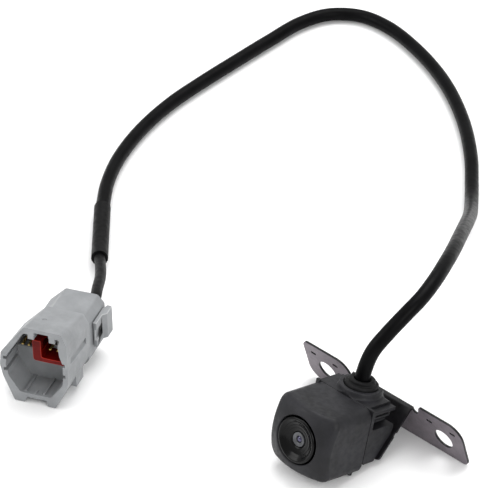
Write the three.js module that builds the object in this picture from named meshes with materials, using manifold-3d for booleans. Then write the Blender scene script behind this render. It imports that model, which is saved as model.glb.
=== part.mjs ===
// Rear-view camera module with its steel mounting bracket, its lead and its plug.
// Millimetres, +Z up. The module lies back on its bracket, lens towards -Y, and the
// lead runs along the floor behind it to the plug, which lies on its two feet.

import * as THREE from "three";
import { mergeVertices } from "three/addons/utils/BufferGeometryUtils.js";
import Module from "manifold-3d";

const wasm = await Module();
wasm.setup();

// ---- Driving dimensions ------------------------------------------------------------

const GAP = 0.3; // clearance kept between neighbouring pieces

// camera body, in its own frame: x across, y backwards, z up from the bottom of the nose
const BODY_WIDTH = 22;
const BODY_HEIGHT = 20;
const BODY_CORNER = 3;
const WALL = 1.5;
const SHELL_DEPTH = 14.5;
const FRONT_BULGE = 3.8;
const BULGE_RADIUS = 22.5;
const LENS_Z = BODY_HEIGHT / 2;
const REAR_BOTTOM = 3;
const GLAND_Y = 21.3;
const GLAND_TOP = 23.8;
const COLLAR_RADIUS = 6.5;
const COLLAR_TOP = 21.8;

// bracket of folded sheet steel
const SHEET = 0.7;
const BACK_PLATE_FOOT = { y: 20.2, z: 3.5 }; // lower front edge of the plate behind the body
const BACK_PLATE_LEAN = 35; // degrees from upright, top backwards
const EAR_LEAN = 31.3; // degrees from upright, bottom backwards
const HOLE_PITCH = 45;
const HOLE_DIAMETER = 6.6;
const HOLE_CENTRE = { y: 33.9, z: 12.1 };
const EAR_REACH = 30.4;
const EAR_ABOVE_HOLE = 8.4;
const EAR_BELOW_HOLE = 6.8;
const FOLD_ABOVE_HOLE = 7.1;

// lead and plug
const LEAD_DIAMETER = 4.5;
const SLEEVE_DIAMETER = 5.2;
const TAIL_DIAMETER = 3.4;
const PLUG_YAW = 25;
const PLUG_FRONT = { x: -77.8, y: -46 };
const PLUG_HALF_WIDTH = 10.75;
const PLUG_HEIGHT = 26.9;
const TAIL_X = 3;
const TAIL_Z = 11;

// the body rests on the rear edge of its bottom and on the lower edges of both ears
const EAR_FOOT = {
  y: HOLE_CENTRE.y + EAR_BELOW_HOLE * Math.sin(radians(EAR_LEAN)),
  z: HOLE_CENTRE.z - EAR_BELOW_HOLE * Math.cos(radians(EAR_LEAN)),
};
const PITCH = Math.atan2(EAR_FOOT.z, EAR_FOOT.y - SHELL_DEPTH);
const BODY_SHIFT_Y = -18.48;

// ---- Helpers -----------------------------------------------------------------------

function radians(degrees) {
  return (degrees * Math.PI) / 180;
}

function toSolid(geometry) {
  const bare = geometry.clone();
  bare.deleteAttribute("normal");
  bare.deleteAttribute("uv");
  const merged = mergeVertices(bare, 1e-4);
  return new wasm.Manifold(
    new wasm.Mesh({
      numProp: 3,
      vertProperties: new Float32Array(merged.attributes.position.array),
      triVerts: new Uint32Array(merged.index.array),
    }),
  );
}

function toGeometry(solid) {
  const mesh = solid.getMesh();
  const geometry = new THREE.BufferGeometry();
  geometry.setAttribute("position", new THREE.BufferAttribute(new Float32Array(mesh.vertProperties), 3));
  geometry.setIndex(new THREE.BufferAttribute(new Uint32Array(mesh.triVerts), 1));
  geometry.computeVertexNormals();
  return geometry;
}

// joins the first list of geometries, then takes the second list away
function carve(joined, removed = []) {
  let solid = toSolid(joined[0]);
  for (const geometry of joined.slice(1)) {
    solid = solid.add(toSolid(geometry));
  }
  for (const geometry of removed) {
    solid = solid.subtract(toSolid(geometry));
  }
  return toGeometry(solid);
}

function overlap(first, second) {
  return toGeometry(toSolid(first).intersect(toSolid(second)));
}

// a box from its lowest to its highest corner
function box(low, high) {
  const size = high.map((value, axis) => value - low[axis]);
  const middle = high.map((value, axis) => (value + low[axis]) / 2);
  return new THREE.BoxGeometry(...size).translate(...middle);
}

function polygon(points) {
  return new THREE.Shape(points.map(([x, y]) => new THREE.Vector2(x, y)));
}

// a rectangle round (0, 0) with rounded corners
function roundedRectangle(width, height, radius) {
  const x = width / 2 - radius;
  const y = height / 2 - radius;
  const shape = new THREE.Shape();
  shape.absarc(x, y, radius, 0, Math.PI / 2);
  shape.absarc(-x, y, radius, Math.PI / 2, Math.PI);
  shape.absarc(-x, -y, radius, Math.PI, 1.5 * Math.PI);
  shape.absarc(x, -y, radius, 1.5 * Math.PI, 2 * Math.PI);
  return shape;
}

function extrude(shape, depth, curveSegments = 6) {
  return new THREE.ExtrudeGeometry(shape, { depth, bevelEnabled: false, curveSegments });
}

// an outline drawn in x and z, made solid from y = from to y = to
function alongY(shape, from, to, curveSegments = 6) {
  return extrude(shape, to - from, curveSegments).rotateX(Math.PI / 2).translate(0, to, 0);
}

// an outline drawn in y and z, made solid from x = from to x = to
function alongX(shape, from, to) {
  const basis = new THREE.Matrix4().makeBasis(
    new THREE.Vector3(0, 1, 0),
    new THREE.Vector3(0, 0, 1),
    new THREE.Vector3(1, 0, 0),
  );
  return extrude(shape, to - from).applyMatrix4(basis).translate(from, 0, 0);
}

// a turned piece on the lens axis; the profile is a list of [radius, y]
function turned(profile, segments = 32) {
  const points = profile.map(([radius, y]) => new THREE.Vector2(radius, y));
  const geometry = new THREE.LatheGeometry([...points, points[0]], segments);
  return outwards(geometry).translate(0, 0, LENS_Z);
}

// a turned piece on an upright axis through (x, y); the profile is a list of [radius, z]
function turnedUpright(profile, x, y, segments = 28) {
  const points = profile.map(([radius, z]) => new THREE.Vector2(radius, z));
  const geometry = new THREE.LatheGeometry([...points, points[0]], segments);
  return outwards(geometry.rotateX(Math.PI / 2)).translate(x, y, 0);
}

// turns the faces of a closed surface outwards, whichever way its profile was drawn
function outwards(geometry) {
  const bare = geometry.clone();
  bare.deleteAttribute("normal");
  bare.deleteAttribute("uv");
  const merged = mergeVertices(bare, 1e-5);
  const index = merged.index.array;
  const a = new THREE.Vector3();
  const b = new THREE.Vector3();
  const c = new THREE.Vector3();
  const kept = [];
  let volume = 0;
  for (let i = 0; i < index.length; i += 3) {
    const corners = [index[i], index[i + 1], index[i + 2]];
    if (new Set(corners).size < 3) continue;
    a.fromBufferAttribute(merged.attributes.position, corners[0]);
    b.fromBufferAttribute(merged.attributes.position, corners[1]);
    c.fromBufferAttribute(merged.attributes.position, corners[2]);
    volume += a.dot(b.cross(c));
    kept.push(...corners);
  }
  if (volume < 0) kept.reverse();
  merged.setIndex(kept);
  merged.computeVertexNormals();
  return merged;
}

function cylinder(radius, from, to, segments = 24) {
  const start = new THREE.Vector3(...from);
  const end = new THREE.Vector3(...to);
  const along = end.clone().sub(start);
  const geometry = new THREE.CylinderGeometry(radius, radius, along.length(), segments);
  const turn = new THREE.Quaternion().setFromUnitVectors(new THREE.Vector3(0, 1, 0), along.normalize());
  return geometry.applyQuaternion(turn).translate(...start.add(end).multiplyScalar(0.5).toArray());
}

// a round cord through a list of [x, y, z]
function cord(points, diameter, sides, steps) {
  const section = new THREE.Shape().absarc(0, 0, diameter / 2, 0, 2 * Math.PI);
  const path = new THREE.CatmullRomCurve3(points.map((point) => new THREE.Vector3(...point)));
  const options = { steps, curveSegments: sides / 2, extrudePath: path, bevelEnabled: false };
  return outwards(new THREE.ExtrudeGeometry(section, options));
}

// ---- Finishes ----------------------------------------------------------------------

function finish(color, roughness, metalness = 0) {
  return new THREE.MeshStandardMaterial({ color, roughness, metalness });
}

const blackPlastic = finish(0x35373a, 0.55);
const glossBlack = finish(0x0a0a0b, 0.15);
const rubberBlack = finish(0x1b1c1d, 0.7);
const coatedSteel = finish(0x5a585d, 0.4, 0.6);
const clearGlass = finish(0x2a2f3a, 0.05);
const satinMetal = finish(0x8b8d90, 0.35, 0.9);
const boardGreen = finish(0x1e4a33, 0.6);
const chipBlack = finish(0x18181a, 0.5);
const leadJacket = finish(0x1d1e1f, 0.5);
const greyPlastic = finish(0xa5a7a7, 0.55);
const redPlastic = finish(0x8a1a12, 0.45);
const terminalBrass = finish(0xb59a4e, 0.3, 0.9);

// ---- Assembly ----------------------------------------------------------------------

const assembly = new THREE.Group();
const cameraBody = new THREE.Group();
const plug = new THREE.Group();
cameraBody.rotation.x = -PITCH;
cameraBody.position.set(0, BODY_SHIFT_Y, SHELL_DEPTH * Math.sin(PITCH));
plug.rotation.z = radians(PLUG_YAW);
plug.position.set(PLUG_FRONT.x, PLUG_FRONT.y, 0);
assembly.add(cameraBody, plug);

function add(group, name, geometry, material) {
  const mesh = new THREE.Mesh(geometry, material);
  mesh.name = name;
  group.add(mesh);
}

// ---- Front shell: a pillow-faced cap with the lens bore --------------------------------

const LENS_BORE = 7.1;

function frontShell() {
  const middle = BODY_HEIGHT / 2;
  const outline = roundedRectangle(BODY_WIDTH, BODY_HEIGHT, BODY_CORNER);
  const prism = alongY(outline, -FRONT_BULGE - 1, SHELL_DEPTH).translate(0, 0, middle);
  const ball = new THREE.SphereGeometry(BULGE_RADIUS, 48, 32);
  ball.rotateX(Math.PI / 2).translate(0, BULGE_RADIUS - FRONT_BULGE, middle);
  const outer = overlap(prism, ball);
  const hollow = roundedRectangle(BODY_WIDTH - 2 * WALL, BODY_HEIGHT - 2 * WALL, BODY_CORNER - WALL);
  const inside = alongY(hollow, 1.6, SHELL_DEPTH + 1, 3).translate(0, 0, middle);
  const bore = cylinder(LENS_BORE, [0, -FRONT_BULGE - 1, LENS_Z], [0, 2, LENS_Z], 36);
  return carve([outer], [inside, bore]);
}

add(cameraBody, "front_shell", frontShell(), blackPlastic);

// ---- Rear shell: body, lip that plugs into the front shell, collar round the gland ------

const POCKET = { x: 8, front: 16, back: 26, bottom: 13.6, top: 18.4 };
const SCREW_SPREAD = 5;
const SCREW_UP = 6; // along the back plate, from its lower edge
const SCREW_HOLE_RADIUS = 1.3;

const plateLean = radians(BACK_PLATE_LEAN);
const plateUp = new THREE.Vector3(0, Math.sin(plateLean), Math.cos(plateLean));
const plateFront = new THREE.Vector3(1, 0, 0).cross(plateUp);
const plateFoot = new THREE.Vector3(0, BACK_PLATE_FOOT.y, BACK_PLATE_FOOT.z);

// the point x across and up along the back plate, ahead of its front face
function onPlate(x, up, ahead) {
  const point = plateFoot.clone().addScaledVector(plateUp, up).addScaledVector(plateFront, ahead);
  return [x, point.y, point.z];
}

// a clearance hole square to the back plate, reaching this far ahead of it
function screwHole(x, ahead) {
  return cylinder(SCREW_HOLE_RADIUS, onPlate(x, SCREW_UP, ahead), onPlate(x, SCREW_UP, -2), 12);
}

// how far back the sloping back of the shell is at a height
function shellBack(z) {
  const rise = z - BACK_PLATE_FOOT.z;
  return BACK_PLATE_FOOT.y + rise * Math.tan(radians(BACK_PLATE_LEAN)) - 0.5;
}

function rearShell() {
  const front = SHELL_DEPTH + GAP;
  const side = polygon([
    [front, REAR_BOTTOM],
    [shellBack(REAR_BOTTOM), REAR_BOTTOM],
    [shellBack(10.6), 10.6],
    [shellBack(11.6) - 0.2, 12.6],
    [24.4, 15],
    [24.4, 19.5],
    [23.9, BODY_HEIGHT],
    [front, BODY_HEIGHT],
  ]);
  const block = alongX(side, -BODY_WIDTH / 2, BODY_WIDTH / 2);
  const width = BODY_WIDTH - 2 * WALL - 2 * GAP;
  const height = BODY_HEIGHT - 2 * WALL - 2 * GAP;
  const lipOutline = roundedRectangle(width, height, 1.2);
  const lip = alongY(lipOutline, 12.6, front + 0.5, 3).translate(0, 0, BODY_HEIGHT / 2);
  const collar = cylinder(COLLAR_RADIUS, [0, GLAND_Y, 17], [0, GLAND_Y, COLLAR_TOP], 32);
  const ahead = box([-BODY_WIDTH, 5, BODY_HEIGHT - 1.4], [BODY_WIDTH, front, COLLAR_TOP + 1]);
  const hollowSide = polygon([
    [12, 4.6],
    [18.4, 4.6],
    [22.6, 10.8],
    [22.6, 17.4],
    [12, 17.4],
  ]);
  const hollow = alongX(hollowSide, -6.6, 6.6);
  const bore = cylinder(3.4, [0, GLAND_Y, 14], [0, GLAND_Y, COLLAR_TOP + 1]);
  const pockets = [];
  const screwHoles = [];
  for (const hand of [-1, 1]) {
    const outside = hand * (BODY_WIDTH / 2 + 1);
    const inside = hand * POCKET.x;
    const low = [Math.min(inside, outside), POCKET.front, POCKET.bottom];
    const high = [Math.max(inside, outside), POCKET.back, POCKET.top];
    pockets.push(box(low, high));
    screwHoles.push(screwHole(hand * SCREW_SPREAD, 5));
  }
  return carve([block, lip, collar], [ahead, hollow, bore, ...pockets, ...screwHoles]);
}

add(cameraBody, "rear_shell", rearShell(), blackPlastic);

function shellGasket() {
  const ring = roundedRectangle(18.2, 16.2, 1.2);
  ring.holes.push(roundedRectangle(15.4, 13.4, 0.8));
  return alongY(ring, 11.7, 12.3, 3).translate(0, 0, BODY_HEIGHT / 2);
}

add(cameraBody, "shell_gasket", shellGasket(), rubberBlack);

// ---- Lens stack on the optical axis ----------------------------------------------------

const BARREL_BACK = 6.6;

const barrelProfile = [
  [2.4, -1.55],
  [5.85, -2.75],
  [6.25, -2.85],
  [6.75, -2.5],
  [6.75, -0.6],
  [5.6, -0.6],
  [5.6, BARREL_BACK],
  [3.6, BARREL_BACK],
  [3.6, 1.2],
  [2.4, 0.4],
];
add(cameraBody, "lens_barrel", turned(barrelProfile, 40), glossBlack);

const lensRingProfile = [
  [1.05, -1.5],
  [1.95, -1.75],
  [2.1, -1.55],
  [2.1, -0.2],
  [1.05, -0.2],
];
add(cameraBody, "lens_ring", turned(lensRingProfile), satinMetal);

const frontLensProfile = [
  [0, -1.45],
  [0.5, -1.38],
  [0.8, -1.2],
  [0.8, -0.1],
  [0, -0.1],
];
add(cameraBody, "front_lens", turned(frontLensProfile, 24), clearGlass);

const lensORing = new THREE.TorusGeometry(6.2, 0.45, 8, 28);
lensORing.rotateX(Math.PI / 2).translate(0, 0.25, LENS_Z);
add(cameraBody, "lens_o_ring", lensORing, rubberBlack);

function lensElement(name, from, to, crown) {
  const profile = [
    [0, from - crown],
    [1.7, from - crown * 0.6],
    [3.2, from],
    [3.2, to],
    [0, to],
  ];
  add(cameraBody, name, turned(profile, 24), clearGlass);
}

lensElement("middle_lens", 2.0, 2.9, 0.4);
lensElement("rear_lens", 4.6, 5.6, 0.5);

const spacerProfile = [
  [2.3, 3.2],
  [3.3, 3.2],
  [3.3, 3.8],
  [2.3, 3.8],
];
add(cameraBody, "lens_spacer", turned(spacerProfile, 24), chipBlack);

function lensHolder() {
  const block = alongY(roundedRectangle(13, 13, 1), BARREL_BACK + GAP, 9.7, 2).translate(0, 0, LENS_Z);
  const throat = cylinder(3.2, [0, 6, LENS_Z], [0, 11, LENS_Z]);
  const seat = cylinder(4.2, [0, 8.2, LENS_Z], [0, 11, LENS_Z]);
  return carve([block], [throat, seat]);
}

add(cameraBody, "lens_holder", lensHolder(), blackPlastic);

const filterProfile = [
  [0, 8.5],
  [3.9, 8.5],
  [3.9, 8.8],
  [0, 8.8],
];
add(cameraBody, "ir_filter", turned(filterProfile, 24), clearGlass);

// ---- Electronics ---------------------------------------------------------------------

function centredBox(width, height, from, to, x = 0, z = LENS_Z) {
  return box([x - width / 2, from, z - height / 2], [x + width / 2, to, z + height / 2]);
}

function board(width, height, from, to, z) {
  return alongY(roundedRectangle(width, height, 0.8), from, to, 2).translate(0, 0, z);
}

add(cameraBody, "image_sensor", centredBox(5, 4.4, 9.15, 9.75), chipBlack);
add(cameraBody, "sensor_board", board(15, 14, 10.05, 11, LENS_Z), boardGreen);
add(cameraBody, "board_plug", centredBox(8, 2.2, 11.3, 14.2, 0, 13.6), chipBlack);
add(cameraBody, "main_board", board(12.4, 11, 14.5, 15.4, 10.8), boardGreen);
add(cameraBody, "video_chip", centredBox(6, 5, 15.7, 16.6, 0, 8.6), chipBlack);
add(cameraBody, "wire_socket", centredBox(7, 3, 15.7, 18.2, 0, 13.6), greyPlastic);

// ---- Gland ---------------------------------------------------------------------------

const glandProfile = [
  [2.55, 18.2],
  [3.1, 18.2],
  [3.1, COLLAR_TOP + GAP],
  [4.6, COLLAR_TOP + GAP],
  [4.6, COLLAR_TOP + 0.9],
  [3.7, COLLAR_TOP + 1.2],
  [3.7, GLAND_TOP - 0.4],
  [3.3, GLAND_TOP],
  [2.55, GLAND_TOP],
];
add(cameraBody, "gland_seal", turnedUpright(glandProfile, 0, GLAND_Y), rubberBlack);

// ---- Bracket: a plate behind the body, folded back at the top into two ears ------------

const earDown = new THREE.Vector3(0, Math.sin(radians(EAR_LEAN)), -Math.cos(radians(EAR_LEAN)));
const earBack = new THREE.Vector3(1, 0, 0).cross(earDown);

// the ears' outline: x across, y down the ear from the level of the bolt holes
function earOutline() {
  const top = -EAR_ABOVE_HOLE;
  const bottom = EAR_BELOW_HOLE;
  const small = 2;
  const large = 4.8;
  const shape = new THREE.Shape();
  shape.moveTo(-11.2, -FOLD_ABOVE_HOLE);
  shape.lineTo(12, -FOLD_ABOVE_HOLE);
  shape.lineTo(12.2, -5.3);
  shape.lineTo(13.2, -4.9);
  shape.lineTo(14.2, -5.3);
  shape.lineTo(14.8, top + 0.5);
  shape.lineTo(15.6, top);
  shape.absarc(EAR_REACH - large, top + large, large, -Math.PI / 2, 0);
  shape.absarc(EAR_REACH - small, bottom - small, small, 0, Math.PI / 2);
  shape.absarc(-EAR_REACH + large, bottom - large, large, Math.PI / 2, Math.PI);
  shape.absarc(-EAR_REACH + small, top + small, small, Math.PI, 1.5 * Math.PI);
  shape.lineTo(-17, top);
  shape.quadraticCurveTo(-13.4, -8.2, -12.2, -3.8);
  shape.lineTo(-11.6, -3.4);
  return shape;
}

// bolt holes, and two small slots above each, in the frame of the outline
function earCutters() {
  const cutters = [];
  for (const x of [-HOLE_PITCH / 2, HOLE_PITCH / 2]) {
    cutters.push(cylinder(HOLE_DIAMETER / 2, [x, 0, -1], [x, 0, SHEET + 1], 28));
    cutters.push(box([x - 5.3, -5.4, -1], [x - 3.3, -4.5, SHEET + 1]));
    cutters.push(box([x + 3.3, -5.4, -1], [x + 5.3, -4.5, SHEET + 1]));
  }
  return cutters;
}

function bracket() {
  const across = new THREE.Vector3(1, 0, 0);
  const earPlane = new THREE.Matrix4().makeBasis(across, earDown, earBack);
  const ears = carve([extrude(earOutline(), SHEET, 8)], earCutters()).applyMatrix4(earPlane);
  ears.translate(0, HOLE_CENTRE.y, HOLE_CENTRE.z);
  const ridge = 18.2; // length of the back plate up to the fold
  const plateOutline = polygon([
    [-11, 0],
    [12, 0],
    [12, 7.4],
    [11.7, 8],
    [11.7, 9.2],
    [12, 9.8],
    [12, ridge],
    [-11, ridge],
  ]);
  const platePlane = new THREE.Matrix4().makeBasis(across, plateUp, plateFront);
  const plate = extrude(plateOutline, SHEET, 4).translate(0, 0, -SHEET).applyMatrix4(platePlane);
  plate.translate(...plateFoot.toArray());
  return carve([ears, plate], [screwHole(-SCREW_SPREAD, 1), screwHole(SCREW_SPREAD, 1)]);
}

add(cameraBody, "bracket", bracket(), coatedSteel);

// a pan-head screw through the back plate into the rear shell
function bracketScrew(x) {
  const shank = cylinder(1, onPlate(x, SCREW_UP, 4.4), onPlate(x, SCREW_UP, -1.6), 12);
  const head = cylinder(1.9, onPlate(x, SCREW_UP, -SHEET - GAP), onPlate(x, SCREW_UP, -2.5), 16);
  return carve([shank, head]);
}

add(cameraBody, "bracket_screw_left", bracketScrew(-SCREW_SPREAD), satinMetal);
add(cameraBody, "bracket_screw_right", bracketScrew(SCREW_SPREAD), satinMetal);

// ---- Plug, in its own frame: x to its right, y backwards from its mouth, z up ---------------

const MOUTH_DEPTH = 12.6;
const SHROUD_LENGTH = 16.5;
const TAPER = 4; // how far the shroud's top comes down from the mouth to its rear
const TAPER_START = 8;
const CAP_START = 18.4;
const CAP_END = 31.3;
const NECK = { left: -5.5, right: 7, bottom: 4.5, top: 16, end: 20.6 };
const PIN_Z = 17.6;
const PIN_X = [-4.7, -2.8, 3.8, 6.2];

// lowers the top of a shape towards the rear of the shroud
function tapered(geometry) {
  const places = geometry.attributes.position;
  for (let i = 0; i < places.count; i += 1) {
    const share = Math.max(0, places.getZ(i) - TAPER_START) / (PLUG_HEIGHT - TAPER_START);
    const drop = (TAPER * share * places.getY(i)) / SHROUD_LENGTH;
    places.setZ(i, places.getZ(i) - drop);
  }
  return geometry;
}

function plugHousing() {
  const outline = polygon([
    [-6.4, 0],
    [-3.2, 0],
    [-2.5, 2],
    [3.6, 2],
    [3.8, 0],
    [6.3, 0],
    [10.4, 8.3],
    [PLUG_HALF_WIDTH, 11.5],
    [PLUG_HALF_WIDTH, 23],
    [9.2, PLUG_HEIGHT],
    [-2.2, PLUG_HEIGHT],
    [-9.9, 16.4],
    [-10.4, 12],
    [-9.6, 8.1],
  ]);
  const inner = polygon([
    [-4.6, 3.4],
    [5, 3.4],
    [8.9, 8.7],
    [9.2, 12],
    [9.2, 16.5],
    [8.4, 19],
    [8, 22.4],
    [8.8, 24.9],
    [-2.4, 24.7],
    [-8, 15.9],
    [-8.6, 12],
    [-7.8, 8.5],
  ]);
  const shroud = tapered(alongY(outline, 0, SHROUD_LENGTH));
  const neck = box([NECK.left, SHROUD_LENGTH - 1, NECK.bottom], [NECK.right, NECK.end, NECK.top]);
  const mouth = tapered(alongY(inner, -1, MOUTH_DEPTH));
  const hollowed = carve([shroud, neck], [mouth]);
  const ledge = box([-PLUG_HALF_WIDTH, 8.5, 2.4], [PLUG_HALF_WIDTH, MOUTH_DEPTH + 1, 13.4]);
  const teeth = [-0.15, 6.35].map((x) => box([x - 0.9, 0, 23.2], [x + 0.9, 5, PLUG_HEIGHT - 1.6]));
  const topNotch = box([0.9, -1, 23], [5.3, 3, 25.7]);
  const sideGrooves = [10.6, 14.6].map((z) => box([-9.3, -1, z - 0.6], [9.9, 8.2, z + 0.6]));
  const wireway = box([-4.1, MOUTH_DEPTH + 1.4, 6], [5.6, 30, 14]);
  const crossway = box([-6.3, 14.2, 12], [7, 15.6, 18.6]); // from the terminals down to the wireway
  const pinHoles = PIN_X.map((x) => box([x - 0.7, 12, PIN_Z - 0.7], [x + 0.7, 15, PIN_Z + 0.7]));
  const cuts = [topNotch, ...sideGrooves, wireway, crossway, ...pinHoles];
  return carve([hollowed, overlap(ledge, shroud), ...teeth], cuts);
}

add(plug, "plug_housing", plugHousing(), greyPlastic);

// the red lock that holds the terminals: an L in section, slid in from the mouth
const lockOutline = polygon([
  [-1, 13.8],
  [8.6, 13.8],
  [8.6, 15.2],
  [1.6, 15.2],
  [1.6, 21],
  [-1, 21],
]);
add(plug, "secondary_lock", alongY(lockOutline, 2.6, 11), redPlastic);

function plugCap() {
  const outline = polygon([
    [-6, 3],
    [8, 3],
    [9.4, 5],
    [9.4, 16.5],
    [7.4, 19],
    [-2.6, 19],
    [-8, 13.5],
    [-8, 6],
  ]);
  const shell = alongY(outline, CAP_START, CAP_END);
  const socket = box(
    [NECK.left - GAP, CAP_START - 1, NECK.bottom - GAP],
    [NECK.right + GAP, NECK.end + GAP, NECK.top + GAP],
  );
  const chamber = box([-2, NECK.end, 7], [7, 28.6, 15]);
  const exit = cylinder(2.6, [TAIL_X, 26, TAIL_Z], [TAIL_X, CAP_END + 1, TAIL_Z]);
  return carve([shell], [socket, chamber, exit]);
}

add(plug, "plug_cap", plugCap(), greyPlastic);

// the side clip that keeps the cap on
const clipOutline = polygon([
  [9.7, 21.5],
  [10.8, 21.5],
  [10.8, 26],
  [11.9, 27],
  [11.9, 31],
  [10.4, 31],
  [9.7, 29],
]);
add(plug, "cap_clip", extrude(clipOutline, 8.6).translate(0, 0, 7.6), greyPlastic);

const sealProfile = [
  [2.0, 21.6],
  [3.3, 21.6],
  [3.3, 26],
  [2.0, 26],
];
const wireSeal = turned(sealProfile, 24).translate(TAIL_X, 0, TAIL_Z - LENS_Z);
add(plug, "wire_seal", wireSeal, rubberBlack);

PIN_X.forEach((x, number) => {
  const blade = box([x - 0.32, 4, PIN_Z - 0.32], [x + 0.32, 15.2, PIN_Z + 0.32]);
  add(plug, `terminal_${number + 1}`, blade, terminalBrass);
});

// ---- Lead: out of the gland, over and down to the floor, round to the plug ---------------

const leadRoute = [
  [0, 5.6, 12.3],
  [0, 7.3, 18.3],
  [0.2, 8.9, 24.0],
  [0.9, 11.3, 29.2],
  [2.8, 15.3, 34.3],
  [4.2, 20.7, 38.4],
  [4.4, 27.2, 41.0],
  [2.4, 34.8, 42.0],
  [-1.6, 43.6, 41.2],
  [-7.3, 53.4, 38.3],
  [-14.5, 64.0, 33.5],
  [-22.4, 75.0, 27.4],
  [-30.6, 85.8, 20.4],
  [-38.4, 95.6, 13.4],
  [-45.6, 104.4, 7.6],
  [-52.6, 112.6, 3.8],
  [-60.0, 121.0, 2.4],
  [-71.0, 132.8, 2.4],
  [-87.0, 146.6, 2.4],
  [-106.0, 158.8, 2.4],
  [-126.0, 167.2, 2.4],
  [-143.0, 171.0, 2.4],
  [-154.4, 169.8, 2.4],
  [-162.6, 163.2, 2.4],
  [-165.8, 152.6, 2.4],
  [-165.4, 138.0, 2.4],
  [-164.4, 121.0, 2.4],
  [-163.2, 104.0, 2.4],
  [-161.4, 88.0, 2.4],
  [-157.2, 71.0, 2.4],
  [-150.6, 55.2, 2.4],
  [-142.6, 42.6, 2.6],
  [-133.6, 32.2, 2.9],
];
add(assembly, "lead", cord(leadRoute, LEAD_DIAMETER, 10, 62), leadJacket);

const sleeveRoute = [
  [-133.4, 31.9, 2.9],
  [-126.5, 25.1, 2.9],
  [-119.5, 18.2, 3.2],
  [-113.0, 11.9, 4.1],
];
add(assembly, "shrink_sleeve", cord(sleeveRoute, SLEEVE_DIAMETER, 10, 6), rubberBlack);

const tailRoute = [
  [-112.8, 11.7, 4.2],
  [-107.4, 7.2, 5.7],
  [-101.6, 1.8, 7.8],
  [-96.0, -4.4, 9.9],
  [-91.6, -9.5, 10.9],
  [-89.0, -14.8, 11.0],
  [-87.4, -18.2, 11.0],
];
add(assembly, "lead_tail", cord(tailRoute, TAIL_DIAMETER, 10, 10), leadJacket);

export default assembly;
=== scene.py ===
import math

import bmesh
import bpy
from mathutils import Matrix, Vector


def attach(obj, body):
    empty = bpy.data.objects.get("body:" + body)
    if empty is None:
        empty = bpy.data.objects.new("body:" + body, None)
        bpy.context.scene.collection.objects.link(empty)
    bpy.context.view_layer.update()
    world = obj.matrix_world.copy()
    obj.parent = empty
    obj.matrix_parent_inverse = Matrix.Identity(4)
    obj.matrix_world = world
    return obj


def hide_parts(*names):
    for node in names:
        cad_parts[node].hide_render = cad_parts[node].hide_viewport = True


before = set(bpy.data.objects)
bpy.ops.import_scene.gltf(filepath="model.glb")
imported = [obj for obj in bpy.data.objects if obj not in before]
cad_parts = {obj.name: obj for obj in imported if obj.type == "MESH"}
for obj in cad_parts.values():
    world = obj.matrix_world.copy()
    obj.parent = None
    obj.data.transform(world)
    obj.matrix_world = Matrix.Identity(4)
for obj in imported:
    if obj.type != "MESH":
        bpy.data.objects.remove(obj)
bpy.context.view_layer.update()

MM = 0.001

# ---- The two sub-frames ------------------------------------------------------------------------

BODY_DEPTH = 14.5
BODY_PITCH = math.radians(15.337)
BODY_SHIFT = -18.48
PLUG_YAW = math.radians(25)
PLUG_FRONT = Vector((-77.8, -46.0, 0.0))

TO_METRES = Matrix.Diagonal((MM, MM, MM, 1))
BODY = (
    TO_METRES
    @ Matrix.Translation((0, BODY_SHIFT, BODY_DEPTH * math.sin(BODY_PITCH)))
    @ Matrix.Rotation(-BODY_PITCH, 4, "X")
)
PLUG = TO_METRES @ Matrix.Translation(PLUG_FRONT) @ Matrix.Rotation(PLUG_YAW, 4, "Z")

# ---- Camera, floor and light -------------------------------------------------------------------

VIEW_AZIMUTH = 45.883
VIEW_ELEVATION = 35.406
VIEW_ROLL = -1.141
VIEW_TARGET = Vector((-91.41, 50.85, 0)) * MM
VIEW_DISTANCE = 1010.2 * MM
FOCAL_PIXELS = 3300
LONG_SIDE_PIXELS = 488
SENSOR = 36


def make_camera():
    azimuth = math.radians(VIEW_AZIMUTH)
    elevation = math.radians(VIEW_ELEVATION)
    roll = math.radians(VIEW_ROLL)
    back = Vector((
        math.sin(azimuth) * math.cos(elevation),
        -math.cos(azimuth) * math.cos(elevation),
        math.sin(elevation),
    ))
    level = Vector((math.cos(azimuth), math.sin(azimuth), 0))
    upright = back.cross(level)
    right = level * math.cos(roll) + upright * math.sin(roll)
    up = upright * math.cos(roll) - level * math.sin(roll)
    data = bpy.data.cameras.new("view")
    data.sensor_width = SENSOR
    data.lens = FOCAL_PIXELS * SENSOR / LONG_SIDE_PIXELS
    data.clip_end = 20
    camera = bpy.data.objects.new("view", data)
    bpy.context.scene.collection.objects.link(camera)
    turn = Matrix((right, up, back)).transposed().to_4x4()
    camera.matrix_world = Matrix.Translation(VIEW_TARGET + back * VIEW_DISTANCE) @ turn
    bpy.context.scene.camera = camera


def make_floor():
    bpy.ops.mesh.primitive_plane_add(size=6, location=(0, 0, -0.0002))
    floor = bpy.context.object
    floor.name = "floor"
    material = bpy.data.materials.new("floor_paper")
    material.use_nodes = True
    shader = material.node_tree.nodes["Principled BSDF"]
    shader.inputs["Base Color"].default_value = (0.9, 0.9, 0.9, 1)
    shader.inputs["Roughness"].default_value = 0.9
    shader.inputs["Specular IOR Level"].default_value = 0.0
    floor.data.materials.append(material)


def area_light(name, place, target, size, power):
    data = bpy.data.lights.new(name, "AREA")
    data.shape = "DISK"
    data.size = size
    data.energy = power
    light = bpy.data.objects.new(name, data)
    bpy.context.scene.collection.objects.link(light)
    light.location = place
    light.rotation_mode = "QUATERNION"
    light.rotation_quaternion = (Vector(target) - Vector(place)).to_track_quat("-Z", "Y")


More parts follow.
